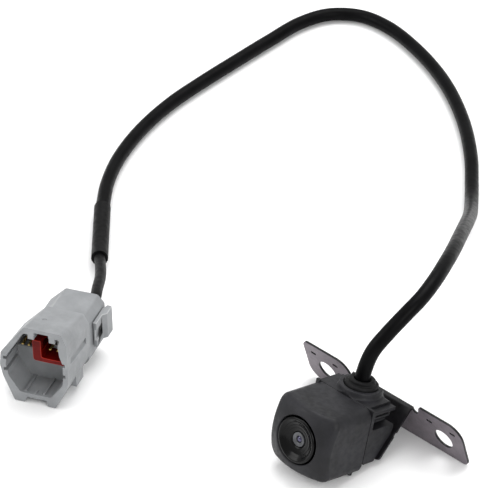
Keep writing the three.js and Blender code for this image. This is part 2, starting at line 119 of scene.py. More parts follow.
def make_lights():
    world = bpy.data.worlds.new("studio")
    world.use_nodes = True
    world.node_tree.nodes["Background"].inputs["Color"].default_value = (1, 1, 1, 1)
    world.node_tree.nodes["Background"].inputs["Strength"].default_value = 0.75
    bpy.context.scene.world = world
    middle = (-0.06, 0.05, 0)
    area_light("overhead", (-0.2, 0.5, 1.3), middle, 1.2, 14)
    area_light("front_left", (-0.9, -0.9, 0.9), middle, 1.0, 8)
    area_light("front_right", (1.1, -0.3, 0.8), middle, 0.8, 7)
    bpy.context.scene.view_settings.view_transform = "Standard"


make_camera()
make_floor()
make_lights()

# ---- Materials ---------------------------------------------------------------------------------


def linear(red, green, blue):
    """A colour given as it looks, 0 to 255, as the shader wants it."""
    return tuple((value / 255) ** 2.2 for value in (red, green, blue)) + (1,)


class Finish:
    """A principled material whose colour, roughness and relief come from noise in object space."""

    def __init__(self, name, roughness=0.5, metallic=0.0, specular=0.5, coat=0.0):
        self.material = bpy.data.materials.new(name)
        self.material.use_nodes = True
        self.tree = self.material.node_tree
        self.shader = self.tree.nodes["Principled BSDF"]
        self.shader.inputs["Roughness"].default_value = roughness
        self.shader.inputs["Metallic"].default_value = metallic
        self.shader.inputs["Specular IOR Level"].default_value = specular
        self.shader.inputs["Coat Weight"].default_value = coat
        self.shader.inputs["Coat Roughness"].default_value = 0.12
        self.place = self.tree.nodes.new("ShaderNodeTexCoord").outputs["Object"]
        self.relief = None

    def stretched(self, stretch):
        mapping = self.tree.nodes.new("ShaderNodeMapping")
        mapping.inputs["Scale"].default_value = stretch
        self.tree.links.new(self.place, mapping.inputs["Vector"])
        return mapping.outputs["Vector"]

    def noise(self, size, detail=4.0, stretch=None):
        """Noise whose grains are about this many millimetres across."""
        node = self.tree.nodes.new("ShaderNodeTexNoise")
        node.inputs["Scale"].default_value = 1 / (size * MM)
        node.inputs["Detail"].default_value = detail
        source = self.stretched(stretch) if stretch else self.place
        self.tree.links.new(source, node.inputs["Vector"])
        return node.outputs["Fac"]

    def spread(self, value, low, high, start=0.35, end=0.65):
        node = self.tree.nodes.new("ShaderNodeMapRange")
        node.inputs["From Min"].default_value = start
        node.inputs["From Max"].default_value = end
        node.inputs["To Min"].default_value = low
        node.inputs["To Max"].default_value = high
        self.tree.links.new(value, node.inputs["Value"])
        return node.outputs["Result"]

    def colours(self, value, first, second, start=0.35, end=0.65):
        ramp = self.tree.nodes.new("ShaderNodeValToRGB")
        ramp.color_ramp.elements[0].position = start
        ramp.color_ramp.elements[0].color = first
        ramp.color_ramp.elements[1].position = end
        ramp.color_ramp.elements[1].color = second
        self.tree.links.new(value, ramp.inputs["Fac"])
        return ramp.outputs["Color"]

    def colour(self, source):
        self.tree.links.new(source, self.shader.inputs["Base Color"])
        return self

    def roughness(self, source):
        self.tree.links.new(source, self.shader.inputs["Roughness"])
        return self

    def bump(self, source, depth, strength=1.0):
        """Relief this many millimetres deep, on top of any already there."""
        node = self.tree.nodes.new("ShaderNodeBump")
        node.inputs["Distance"].default_value = depth * MM
        node.inputs["Strength"].default_value = strength
        self.tree.links.new(source, node.inputs["Height"])
        if self.relief:
            self.tree.links.new(self.relief, node.inputs["Normal"])
        self.relief = node.outputs["Normal"]
        self.tree.links.new(self.relief, self.shader.inputs["Normal"])
        return self


def grained(name, dark, light, grain, depth, roughness, spread=0.08, **options):
    """Moulded plastic or rubber: fine grain over slow mottling."""
    finish = Finish(name, roughness, **options)
    finish.colour(finish.colours(finish.noise(6, 5), dark, light))
    finish.roughness(finish.spread(finish.noise(1.6, 3), roughness - spread, roughness + spread))
    finish.bump(finish.noise(grain, 3), depth, 0.5)
    finish.bump(finish.noise(3.5, 2), depth * 2, 0.25)
    return finish.material


housing_black = grained("housing_black", linear(29, 29, 31), linear(38, 38, 41), 0.16, 0.012, 0.5,
                        specular=0.22)
rear_black = grained("rear_black", linear(27, 27, 29), linear(37, 37, 40), 0.16, 0.012, 0.48,
                     specular=0.22)
# Lighter copy of the shell plastic for its rounded edges: a painted highlight.
rear_rim_painted_highlight = grained("rear_rim_painted_highlight", linear(50, 50, 54), linear(64, 63, 68), 0.16, 0.006, 0.4,
                    specular=0.35)
seal_black = grained("seal_black", linear(10, 10, 11), linear(17, 17, 18), 0.25, 0.015, 0.6,
                     specular=0.18)
jacket_black = grained("jacket_black", linear(10, 10, 11), linear(17, 17, 18), 0.5, 0.008, 0.4,
                       spread=0.07, specular=0.06)
sleeve_black = grained("sleeve_black", linear(9, 9, 10), linear(16, 16, 17), 0.4, 0.02, 0.52,
                       specular=0.12)
gloss_black = grained("gloss_black", linear(4, 4, 5), linear(8, 8, 9), 0.6, 0.002, 0.2,
                      spread=0.04, specular=0.16)
plug_grey = grained("plug_grey", linear(122, 124, 126), linear(134, 136, 138), 0.2, 0.008, 0.5,
                    spread=0.06, specular=0.35)
# Lighter copy of the plug plastic for its rounded edges: a painted highlight.
plug_rim_painted_highlight = grained("plug_rim_painted_highlight", linear(150, 152, 153), linear(162, 164, 165), 0.2, 0.004, 0.45,
                    spread=0.06, specular=0.4)
lock_red = grained("lock_red", linear(78, 7, 3), linear(96, 12, 6), 0.2, 0.008, 0.42,
                   spread=0.06, specular=0.12)
# Brighter copy of the lock's red for its rounded edges: a painted highlight.
lock_rim_painted_highlight = grained("lock_rim_painted_highlight", linear(140, 26, 12), linear(156, 36, 18), 0.2, 0.004, 0.4,
                    spread=0.06, specular=0.3)
board_green = grained("board_green", linear(20, 66, 44), linear(28, 84, 56), 0.4, 0.01, 0.45)
chip_black = grained("chip_black", linear(26, 26, 28), linear(38, 38, 40), 0.2, 0.01, 0.55)
socket_white = grained("socket_white", linear(196, 194, 186), linear(212, 210, 202), 0.3, 0.01, 0.5)


def metal(name, dark, light, roughness, brushed, depth, metallic=1.0, spread=0.06):
    finish = Finish(name, roughness, metallic=metallic, specular=0.25)
    finish.colour(finish.colours(finish.noise(4, 5), dark, light))
    finish.roughness(finish.spread(finish.noise(0.9, 4, brushed), roughness - spread, roughness + spread))
    finish.bump(finish.noise(0.3, 2, brushed), depth, 0.4)
    return finish.material


# The ears' light grey is the bracket's dark semi-gloss coat with a painted reflection of the lamps in its
# colour.
coated_steel = metal("coated_steel", linear(101, 95, 101), linear(115, 108, 114), 0.38, (1, 1, 1), 0.004,
                     metallic=0.35)
# A darker copy of the same coat, with painted shade, for the plate behind the body and the sheet edges.
bracket_coat_painted_shade = metal("bracket_coat_painted_shade", linear(16, 15, 17), linear(28, 27, 30), 0.42, (1, 1, 1), 0.004,
                    metallic=0.0)
screw_steel = metal("screw_steel", linear(150, 150, 152), linear(176, 176, 178), 0.3, (1, 1, 6), 0.003)
ring_metal = metal("ring_metal", linear(76, 77, 79), linear(92, 93, 96), 0.42, (1, 1, 1), 0.002, 0.6)
terminal_brass = metal("terminal_brass", linear(196, 164, 92), linear(214, 184, 112), 0.28, (1, 5, 1),
                       0.002)


def lens_glass_finish():
    finish = Finish("lens_glass", 0.04, specular=0.8, coat=1.0)
    finish.shader.inputs["Coat Tint"].default_value = linear(196, 190, 255)
    finish.colour(finish.colours(finish.noise(0.9, 2), linear(9, 10, 16), linear(22, 20, 40)))
    finish.roughness(finish.spread(finish.noise(0.4, 2), 0.02, 0.06))
    return finish.material


lens_glass = lens_glass_finish()

# ---- Lead, sleeve and tail ---------------------------------------------------------------------

LEAD_ROUTE = [
    (0, 5.6, 12.3),
    (0, 7.3, 18.3),
    (0.2, 8.9, 24.0),
    (0.9, 11.3, 29.2),
    (2.8, 15.3, 34.3),
    (4.2, 20.7, 38.4),
    (4.4, 27.2, 41.0),
    (2.4, 34.8, 42.0),
    (-1.6, 43.6, 41.2),
    (-7.3, 53.4, 38.3),
    (-14.5, 64.0, 33.5),
    (-22.4, 75.0, 27.4),
    (-30.6, 85.8, 20.4),
    (-38.4, 95.6, 13.4),
    (-45.6, 104.4, 7.6),
    (-52.6, 112.6, 3.8),
    (-60.0, 121.0, 2.4),
    (-71.0, 132.8, 2.4),
    (-87.0, 146.6, 2.4),
    (-106.0, 158.8, 2.4),
    (-126.0, 167.2, 2.4),
    (-143.0, 171.0, 2.4),
    (-154.4, 169.8, 2.4),
    (-162.6, 163.2, 2.4),
    (-165.8, 152.6, 2.4),
    (-165.4, 138.0, 2.4),
    (-164.4, 121.0, 2.4),
    (-163.2, 104.0, 2.4),
    (-161.4, 88.0, 2.4),
    (-157.2, 71.0, 2.4),
    (-150.6, 55.2, 2.4),
    (-142.6, 42.6, 2.6),
    (-133.6, 32.2, 2.9),
]
SLEEVE_ROUTE = [
    (-133.4, 31.9, 2.9),
    (-126.5, 25.1, 2.9),
    (-119.5, 18.2, 3.2),
    (-113.0, 11.9, 4.1),
]
TAIL_ROUTE = [
    (-112.8, 11.7, 4.2),
    (-107.4, 7.2, 5.7),
    (-101.6, 1.8, 7.8),
    (-96.0, -4.4, 9.9),
    (-91.6, -9.5, 10.9),
    (-89.0, -14.8, 11.0),
    (-87.4, -18.2, 11.0),
]


def smooth_route(points, steps):
    """A centripetal Catmull-Rom line through the points, in millimetres."""
    points = [Vector(point) for point in points]
    first = points[0] * 2 - points[1]
    last = points[-1] * 2 - points[-2]
    knots = [first, *points, last]
    line = []
    for i in range(1, len(knots) - 2):
        p0, p1, p2, p3 = knots[i - 1:i + 3]
        t0 = 0
        t1 = t0 + (p1 - p0).length ** 0.5
        t2 = t1 + (p2 - p1).length ** 0.5
        t3 = t2 + (p3 - p2).length ** 0.5
        for step in range(steps):
            t = t1 + (t2 - t1) * step / steps
            a1 = p0.lerp(p1, (t - t0) / (t1 - t0))
            a2 = p1.lerp(p2, (t - t1) / (t2 - t1))
            a3 = p2.lerp(p3, (t - t2) / (t3 - t2))
            b1 = a1.lerp(a2, (t - t0) / (t2 - t0))
            b2 = a2.lerp(a3, (t - t1) / (t3 - t1))
            line.append(b1.lerp(b2, (t - t1) / (t2 - t1)))
    line.append(points[-1])
    return line


def round_cord(name, line, diameter, resolution=7):
    data = bpy.data.curves.new(name, "CURVE")
    data.dimensions = "3D"
    data.bevel_depth = diameter / 2 * MM
    data.bevel_resolution = resolution
    data.use_fill_caps = True
    spline = data.splines.new("POLY")
    spline.points.add(len(line) - 1)
    for point, place in zip(spline.points, line):
        point.co = (*(place * MM), 1)
    spline.use_smooth = True
    cord = bpy.data.objects.new(name, data)
    bpy.context.scene.collection.objects.link(cord)
    return cord


def line_length(line):
    return sum((b - a).length for a, b in zip(line, line[1:]))


def flexible(name, node, route, diameter, material):
    line = smooth_route(route, 8)
    cord = round_cord(name, line, diameter)
    cord.data.materials.append(material)
    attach(cord, "camera")
    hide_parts(node)
    return cord, line_length(line) * MM


LEAD_DRAWN = 4.4  # a little thinner, to stay inside the faceted CAD lead's box
SLEEVE_DIAMETER = 5.2
TAIL_DIAMETER = 3.4

lead, lead_length = flexible("lead_jacket_tube", "lead", LEAD_ROUTE, LEAD_DRAWN,
                             jacket_black)
sleeve = flexible("shrink_sleeve_tube", "shrink_sleeve", SLEEVE_ROUTE, SLEEVE_DIAMETER,
                  sleeve_black)[0]
tail, tail_length = flexible("tail_jacket_tube", "lead_tail", TAIL_ROUTE, TAIL_DIAMETER,
                             sleeve_black)

# ---- Mesh tools: outlines in millimetres, prisms, turned pieces, joining and cutting -----------

X = Vector((1, 0, 0))
Y = Vector((0, 1, 0))
Z = Vector((0, 0, 1))


def arc(centre, radius, start, end, steps=8):
    """Points on an arc, with its angles in degrees."""
    points = []
    for step in range(steps + 1):
        angle = math.radians(start + (end - start) * step / steps)
        points.append((centre[0] + radius * math.cos(angle), centre[1] + radius * math.sin(angle)))
    return points


def rounded(corners, steps=5):
    """A closed outline; a corner (u, v, radius) is rounded off."""
    line = []
    for i, corner in enumerate(corners):
        here = Vector(corner[:2])
        if len(corner) == 2:
            line.append(tuple(here))
            continue
        radius = corner[2]
        before = (Vector(corners[i - 1][:2]) - here).normalized()
        after = (Vector(corners[(i + 1) % len(corners)][:2]) - here).normalized()
        half = before.angle(after) / 2
        centre = here + (before + after).normalized() * radius / math.sin(half)
        start = here + before * radius / math.tan(half) - centre
        end = here + after * radius / math.tan(half) - centre
        for step in range(steps + 1):
            share = step / steps
            turn = (math.pi - 2 * half) * share
            side = math.copysign(1, start.x * end.y - start.y * end.x)
            spoke = Matrix.Rotation(turn * side, 2) @ start
            line.append(tuple(centre + spoke))
    return line


def rectangle(left, bottom, right, top, radius=0.0, steps=5):
    corners = [(left, bottom), (right, bottom), (right, top), (left, top)]
    if radius:
        corners = [(*corner, radius) for corner in corners]
    return rounded(corners, steps)


def as_object(mesh_data, name="work"):
    bmesh.ops.recalc_face_normals(mesh_data, faces=mesh_data.faces)
    mesh = bpy.data.meshes.new(name)
    mesh_data.to_mesh(mesh)
    mesh_data.free()
    piece = bpy.data.objects.new(name, mesh)
    bpy.context.scene.collection.objects.link(piece)
    return piece


def prism(outline, across, upward, along, low, high, origin=(0, 0, 0)):
    """The outline drawn along across and upward, made solid from low to high along the third."""
    origin = Vector(origin)
    work = bmesh.new()
    ends = []
    for depth in (low, high):
        ends.append([work.verts.new(origin + across * u + upward * v + along * depth) for u, v in outline])
    first, second = ends
    work.faces.new(first)
    work.faces.new(second)
    for i in range(len(first)):
        work.faces.new((first[i - 1], first[i], second[i], second[i - 1]))
    return as_object(work)


def block(low, high):
    outline = [(low[0], low[1]), (high[0], low[1]), (high[0], high[1]), (low[0], high[1])]
    return prism(outline, X, Y, Z, low[2], high[2])


def turned(profile, origin, axis, segments=96):
    """A closed profile of (radius, height along the axis) turned all the way round."""
    origin = Vector(origin)
    axis = axis.normalized()
    side = (X if abs(axis.x) < 0.9 else Y).cross(axis).normalized()
    other = axis.cross(side)
    work = bmesh.new()
    rings = []
    for radius, height in profile:
        middle = origin + axis * height
        if radius == 0:
            rings.append([work.verts.new(middle)] * segments)
            continue
        ring = []
        for step in range(segments):
            angle = 2 * math.pi * step / segments
            outwards = side * math.cos(angle) + other * math.sin(angle)
            ring.append(work.verts.new(middle + outwards * radius))
        rings.append(ring)
    for i in range(len(rings)):
        here, before = rings[i], rings[i - 1]
        for step in range(segments):
            corners = [before[step - 1], before[step], here[step], here[step - 1]]
            distinct = list(dict.fromkeys(corners))
            if len(distinct) > 2:
                work.faces.new(distinct)
    return as_object(work)


def rod(radius, start, end, segments=48):
    start = Vector(start)
    along = Vector(end) - start
    return turned([(0, 0), (radius, 0), (radius, along.length), (0, along.length)], start, along, segments)


def settle(piece):
    """Bakes the modifiers into the mesh."""
    graph = bpy.context.evaluated_depsgraph_get()
    mesh = bpy.data.meshes.new_from_object(piece.evaluated_get(graph))
    piece.modifiers.clear()
    piece.data = mesh


def combine(piece, operation, others):
    for other in others:
        step = piece.modifiers.new("combine", "BOOLEAN")
        step.operation = operation
        step.solver = "MANIFOLD"
        step.object = other
    settle(piece)
    for other in others:
        bpy.data.objects.remove(other)
    work = bmesh.new()
    work.from_mesh(piece.data)
    bmesh.ops.remove_doubles(work, verts=work.verts, dist=0.0005)
    bmesh.ops.dissolve_limit(work, angle_limit=math.radians(0.6), verts=work.verts, edges=work.edges)
    work.to_mesh(piece.data)
    work.free()
    return piece


def join(piece, *others):
    return combine(piece, "UNION", others)


def cut(piece, *others):
    return combine(piece, "DIFFERENCE", others)


def seat(piece, name, frame_matrix, nodes, body, finishes, edge=0.0, steps=3, sharp=32):
    """Puts the piece in the row frame, rounds its edges in the last finish, and dresses it."""
    piece.name = name
    piece.data.name = name
    piece.data.transform(frame_matrix)
    piece.data.materials.clear()
    for material in finishes:
        piece.data.materials.append(material)
    if edge:
        bevel = piece.modifiers.new("edges", "BEVEL")
        bevel.width = edge * MM
        bevel.segments = steps
        bevel.limit_method = "ANGLE"
        bevel.angle_limit = math.radians(sharp)
        bevel.use_clamp_overlap = True
        # The rounded edges take the last material; on the rear shell, plug, lock and clip that copy holds a
        # painted highlight, on the bracket painted shade.
        bevel.material = len(finishes) - 1
        settle(piece)
        piece.name = name
    for polygon in piece.data.polygons:
        polygon.use_smooth = True
    piece.data.set_sharp_from_angle(angle=math.radians(40))
    even = piece.modifiers.new("normals", "WEIGHTED_NORMAL")
    even.keep_sharp = True
    even.weight = 60
    settle(piece)
    piece.data.name = name
    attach(piece, body)
    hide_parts(*nodes)
    return piece


# ---- Front shell: a rounded box with a pillowed face and the lens bore -------------------------

BODY_WIDTH = 22
BODY_HEIGHT = 20
BODY_CORNER = 3
WALL = 1.5
GAP = 0.3
BULGE = 3.8
BULGE_RADIUS = 22.5
FILLET = 1.0
SEAM = 0.2  # how far the front shell closes the gap to the rear one
INNER_FACE = 1.6  # inside of the front wall
BORE = 7.1
LENS = Vector((0, 0, 10))


def face_depth(x, z):
    """How far back the pillowed face is."""
    away = math.hypot(x, z - LENS.z)
    return BULGE_RADIUS - BULGE - math.sqrt(BULGE_RADIUS ** 2 - away ** 2)


def body_outline(side_steps=10, corner_steps=10):
    """Points round the shell, each with the direction outwards."""
    across = BODY_WIDTH / 2 - BODY_CORNER
    upward = BODY_HEIGHT / 2 - BODY_CORNER
    centres = [(across, upward), (-across, upward), (-across, -upward), (across, -upward)]
    points = []
    for i, (x, z) in enumerate(centres):
        for step in range(corner_steps + 1):
            angle = math.radians(90 * i + 90 * step / corner_steps)
            normal = Vector((math.cos(angle), 0, math.sin(angle)))
            points.append((LENS + Vector((x, 0, z)) + normal * BODY_CORNER, normal))
        start = points[-1][0]
        following = centres[(i + 1) % 4]
        end = LENS + Vector((following[0], 0, following[1])) + normal * BODY_CORNER
        for step in range(1, side_steps):
            points.append((start.lerp(end, step / side_steps), normal))
    return points


def front_shell():
    outline = body_outline()
    rings = []

    def straight(inset, y):
        rings.append([point - normal * inset + Y * y for point, normal in outline])

    straight(WALL, BODY_DEPTH + SEAM)
    straight(0.2, BODY_DEPTH + SEAM)
    straight(0.06, BODY_DEPTH + SEAM - 0.06)
    straight(0, BODY_DEPTH + SEAM - 0.2)
    straight(0, 9)
    straight(0, 5)
    fillet_steps = 8
    for step in range(fillet_steps + 1):
        angle = math.radians(90 * step / fillet_steps)
        inset = FILLET * (1 - math.cos(angle))
        drop = FILLET * (1 - math.sin(angle))
        ring = []
        for point, normal in outline:
            place = point - normal * inset
            ring.append(place + Y * (face_depth(place.x, place.z) + drop))
        rings.append(ring)
    edge = [point - normal * FILLET for point, normal in outline]
    lip = BORE + 0.5
    for share in (0.25, 0.5, 0.75, 1):
        ring = []
        for place in edge:
            out = (place - LENS).normalized()
            place = place.lerp(LENS + out * lip, share)
            ring.append(place + Y * face_depth(place.x, place.z))
        rings.append(ring)
    rim = face_depth(lip, LENS.z)
    bore_steps = ((BORE + 0.3, rim + 0.02), (BORE + 0.1, rim + 0.14), (BORE, rim + 0.4),
                  (BORE, INNER_FACE))
    for radius, y in bore_steps:
        rings.append([LENS + (place - LENS).normalized() * radius + Y * y for place in edge])
    straight(WALL, INNER_FACE)
    work = bmesh.new()
    rows = [[work.verts.new(place) for place in ring] for ring in rings]
    for i, row in enumerate(rows):
        before = rows[i - 1]
        for step in range(len(row)):
            work.faces.new((before[step - 1], before[step], row[step], row[step - 1]))
    shell = as_object(work)
    fin = prism(rounded([(12.9, 19.6), (14.4, 19.6), (14.4, 20.6, 0.15), (14.0, 20.55, 0.15)]),
                Y, Z, X, -9.3, -8.9)
    nib = prism(rounded([(11.4, 0.4), (12.9, 0.4), (12.7, -0.4, 0.15), (11.8, -0.35, 0.15)]),
                Y, Z, X, 9.0, 9.6)
    return join(shell, fin, nib)


seat(front_shell(), "front_shell_moulding", BODY, ["front_shell"], "camera",
     (housing_black,), edge=0.0)

# ---- Rear shell --------------------------------------------------------------------------------

LEAN = math.radians(35)
PLATE_UP = Vector((0, math.sin(LEAN), math.cos(LEAN)))
PLATE_FRONT = X.cross(PLATE_UP)
PLATE_FOOT = Vector((0, 20.2, 3.5))
SCREW_X = 5
SCREW_UP = 6
SCREW_HOLE = 1.3
GLAND = Vector((0, 21.3, 0))
BODY_BACK = 24.4
BODY_SIDE = BODY_WIDTH / 2


def on_plate(x, up, ahead):
    return PLATE_FOOT + X * x + PLATE_UP * up + PLATE_FRONT * ahead


def back_of_shell(z):
    return PLATE_FOOT.y + (z - PLATE_FOOT.z) * math.tan(LEAN) - 0.5


def rear_shell():
    front = BODY_DEPTH + GAP
    side = rounded([
        (front, 3, 0.5),
        (back_of_shell(3), 3, 0.8),
        (back_of_shell(10.6), 10.6),
        (back_of_shell(11.6) - 0.2, 12.6),
        (BODY_BACK, 15, 1.2),
        (BODY_BACK, BODY_HEIGHT, 0.7),
        (front, BODY_HEIGHT, 0.2),
    ])
    shell = prism(side, Y, Z, X, -BODY_SIDE, BODY_SIDE)
    lip = prism(rectangle(-9.2, 1.8, 9.2, 18.2, 1.2), X, Z, Y, 12.6, front + 0.5)
    collar = turned([
        (0, 17), (8.6, 17), (8.6, 19.7), (7.9, 19.76), (7.2, 19.9), (6.75, 20.15), (6.5, 20.6),
        (6.45, 21.4), (6.3, 21.7), (6.0, 21.8), (5.3, 21.8), (5.15, 21.65), (5.1, 21.2), (0, 21.2),
    ], GLAND, Z, 112)
    ahead = block((-BODY_WIDTH, 5, 18.6), (BODY_WIDTH, front, 25))
    behind = block((-BODY_WIDTH, BODY_BACK, 15), (BODY_WIDTH, 30, 25))
    shelf = []
    for hand in (-1, 1):
        shelf.append(prism(
            rounded([(15.6, 19.2), (26, 19.2), (26, 20.6), (15.6, 20.6)]), Y, Z, X,
            min(hand * 9.0, hand * 12), max(hand * 9.0, hand * 12)))
    join(shell, lip, collar)
    cut(shell, ahead, *shelf)
    bottom = prism([(12, 4.6), (18.4, 4.6), (22.6, 10.8), (22.6, 17.4), (12, 17.4)], Y, Z, X, -6.6, 6.6)
    bore = rod(3.4, GLAND + Z * 14, GLAND + Z * 26)
    pockets = []
    ribs = []
    for hand in (-1, 1):
        inside, outside = hand * 8, hand * 12
        outline = rounded([(16, 13.6, 0.5), (26, 13.6), (26, 18.2), (16, 18.2, 0.5)])
        pockets.append(prism(outline, Y, Z, X, min(inside, outside), max(inside, outside)))
        for low, high, reach, back in ((16.7, 17.3, 10.6, 24.2), (15.1, 15.7, 9.7, 23.6)):
            plan = rounded([
                (hand * 7.5, 15.5), (hand * reach, 15.5), (hand * reach, back, 2.0),
                (hand * 7.5, back, 0.3),
            ])
            ribs.append(prism(plan, X, Y, Z, low, high))
    holes = [rod(SCREW_HOLE, on_plate(x, SCREW_UP, 5), on_plate(x, SCREW_UP, -2), 24)
             for x in (-SCREW_X, SCREW_X)]
    cut(shell, bottom, bore, *pockets, *holes)
    join(shell, *ribs)
    cut(shell, behind)
    return shell


seat(rear_shell(), "rear_shell_moulding", BODY, ["rear_shell"], "camera",
     (rear_black, rear_rim_painted_highlight), edge=0.22)

# ---- Gland -------------------------------------------------------------------------------------

gland_profile = [
    (2.3, 18.2), (3.1, 18.2), (3.1, 21.3), (4.9, 21.3), (4.95, 21.5), (4.9, 22.2), (4.7, 22.45),
    (4.3, 22.58), (4.0, 22.6), (3.86, 22.75), (3.82, 23.0), (3.86, 23.15), (3.8, 23.4), (3.55, 23.68),
    (3.2, 23.8), (2.75, 23.77), (2.5, 23.6), (2.32, 23.2),
]
seat(turned(gland_profile, GLAND, Z, 96), "gland_grommet", BODY, ["gland_seal"], "camera",
     (seal_black,))

# ---- Lens stack --------------------------------------------------------------------------------

barrel_profile = [
    (2.3, 0.3), (2.3, -1.42), (2.42, -1.58), (2.9, -1.7), (3.5, -1.82), (3.56, -1.76), (4.3, -1.98),
    (4.36, -1.92), (5.1, -2.3), (5.16, -2.25), (5.75, -2.68), (5.95, -2.82), (6.2, -2.86),
    (6.48, -2.8), (6.66, -2.62), (6.73, -2.3), (6.75, -0.6), (5.6, -0.6), (5.6, 6.6), (3.6, 6.6),
    (3.6, 1.2), (2.5, 0.4),
]
seat(turned(barrel_profile, LENS, Y, 128), "lens_barrel_dish", BODY, ["lens_barrel"], "camera",
     (gloss_black,))

ring_profile = [
    (1.0, -0.2), (1.0, -1.4), (1.08, -1.52), (1.35, -1.6), (1.42, -1.56), (1.75, -1.7), (1.95, -1.74),
    (2.08, -1.66), (2.12, -1.5), (2.12, -0.2),
]
seat(turned(ring_profile, LENS, Y, 96), "lens_trim_ring", BODY, ["lens_ring"], "camera",
     (ring_metal,))

glass_profile = [(0, -0.1), (0, -1.5)]
glass_profile += [(0.88 * math.sin(math.radians(a)), -1.06 - 0.44 * math.cos(math.radians(a)))
                  for a in range(15, 91, 15)]
glass_profile += [(0.88, -0.1)]
seat(turned(glass_profile, LENS, Y, 64), "front_lens_dome", BODY, ["front_lens"], "camera",
     (lens_glass,))

# ---- Bracket: ears, back plate and the fold between them ---------------------------------------

EAR_LEAN = math.radians(31.3)
EAR_DOWN = Vector((0, math.sin(EAR_LEAN), -math.cos(EAR_LEAN)))
EAR_BACK = X.cross(EAR_DOWN)
EAR_ORIGIN = Vector((0, 33.9, 12.1))
EAR_TOP = -8.4
EAR_BOTTOM = 6.8
EAR_REACH = 30.4
FOLD = -7.1
HOLE_X = 22.5
HOLE_RADIUS = 3.3
SLOT_OFFSET = 4.3
LARGE_CORNER = 4.8
SMALL_CORNER = 2
PLATE_LEFT = -11
PLATE_RIGHT = 12
PLATE_CORNER = 1.2
FOLD_RADIUS = 1.1
SHEET = 0.7


def ear_sheet():
    outline = [(-11.2, FOLD + 0.6), (PLATE_RIGHT, FOLD + 0.6), *arc((13.1, -5.9), 1.05, 180, 20, 8)]
    outline += arc((15.3, EAR_TOP + 0.6), 0.6, 200, 270, 4)
    outline += arc((EAR_REACH - LARGE_CORNER, EAR_TOP + LARGE_CORNER), LARGE_CORNER, -90, 0, 14)
    outline += arc((EAR_REACH - SMALL_CORNER, EAR_BOTTOM - SMALL_CORNER), SMALL_CORNER, 0, 90, 8)
    outline += arc((-EAR_REACH + LARGE_CORNER, EAR_BOTTOM - LARGE_CORNER), LARGE_CORNER, 90, 180, 14)
    outline += arc((-EAR_REACH + SMALL_CORNER, EAR_TOP + SMALL_CORNER), SMALL_CORNER, 180, 270, 8)
    start, control, end = Vector((-17, EAR_TOP)), Vector((-13.4, -8.2)), Vector((-12.2, -3.8))
    for step in range(13):
        share = step / 12
        outline.append(tuple(start.lerp(control, share).lerp(control.lerp(end, share), share)))
    outline += [(-11.9, -3.5), (-11.6, -3.4)]
    sheet = prism(outline, X, EAR_DOWN, EAR_BACK, 0, SHEET, EAR_ORIGIN)
    cutters = []
    for x in (-HOLE_X, HOLE_X):
        hole = EAR_ORIGIN + X * x
        cutters.append(rod(HOLE_RADIUS, hole - EAR_BACK, hole + EAR_BACK * 2, 72))
        for side in (-SLOT_OFFSET, SLOT_OFFSET):
            slot = rectangle(x + side - 1, -5.4, x + side + 1, -4.5, 0.3, 3)
            cutters.append(prism(slot, X, EAR_DOWN, EAR_BACK, -1, 2, EAR_ORIGIN))
    return cut(sheet, *cutters)


def folded_strip():
    """The plate behind the body and the bend over to the ears, as one section."""
    plate = Vector((PLATE_UP.y, PLATE_UP.z))
    plate_out = Vector((PLATE_FRONT.y, PLATE_FRONT.z))
    foot = Vector((PLATE_FOOT.y, PLATE_FOOT.z))
    down = Vector((EAR_DOWN.y, EAR_DOWN.z))
    back = Vector((EAR_BACK.y, EAR_BACK.z))
    ear_face = Vector((EAR_ORIGIN.y, EAR_ORIGIN.z)) + back * SHEET
    offset = ear_face - foot
    spread = plate.x * -down.y + plate.y * down.x
    reach = (offset.x * -down.y + offset.y * down.x) / spread
    apex = foot + plate * reach
    half = (-plate).angle(down) / 2
    tangent = FOLD_RADIUS / math.tan(half)
    centre = apex - plate * tangent - plate_out * FOLD_RADIUS
    start = math.atan2(plate_out.y, plate_out.x)
    end = math.atan2(back.y, back.x)
    outer = arc(centre, FOLD_RADIUS, math.degrees(start), math.degrees(end), 12)
    inner = arc(centre, FOLD_RADIUS - SHEET, math.degrees(end), math.degrees(start), 6)
    ear_end = 2.2
    outer_end = apex + down * (tangent + ear_end)
    section = [tuple(foot), *outer, tuple(outer_end), tuple(outer_end - back * SHEET), *inner,
               tuple(foot - plate_out * SHEET)]
    return prism(section, Y, Z, X, PLATE_LEFT, PLATE_RIGHT)


def bracket():
    sheet = join(folded_strip(), ear_sheet())
    notch = prism(rectangle(11.7, 8, 13, 9.3, 0), X, PLATE_UP, PLATE_FRONT, -2, 1, PLATE_FOOT)
    corners = []
    for hand, x in ((-1, PLATE_LEFT), (1, PLATE_RIGHT)):
        start, end = (0, -90) if hand > 0 else (180, 270)
        inner = x - PLATE_CORNER * hand
        corner = [(x, -0.2), (x + 0.2 * hand, -0.2), (x + 0.2 * hand, PLATE_CORNER), (x, PLATE_CORNER)]
        corner += arc((inner, PLATE_CORNER), PLATE_CORNER, start, end, 6)
        corner += [(inner, -0.2)]
        corners.append(prism(corner, X, PLATE_UP, PLATE_FRONT, -2, 1, PLATE_FOOT))
    holes = [rod(SCREW_HOLE, on_plate(x, SCREW_UP, 1), on_plate(x, SCREW_UP, -2), 40)
             for x in (-SCREW_X, SCREW_X)]
    return cut(sheet, notch, *corners, *holes)


def paint_shade_on_plate_and_edges(piece):
    """Gives everything but the ears' faces the darker material: painted shade on the one coat."""
    facing = (BODY.to_3x3() @ EAR_BACK).normalized()
    for polygon in piece.data.polygons:
        if abs(polygon.normal.dot(facing)) < 0.95:
            polygon.material_index = 1


paint_shade_on_plate_and_edges(seat(
    bracket(), "bracket_pressing", BODY, ["bracket"], "camera",
    (coated_steel, bracket_coat_painted_shade), edge=0.08, steps=2))


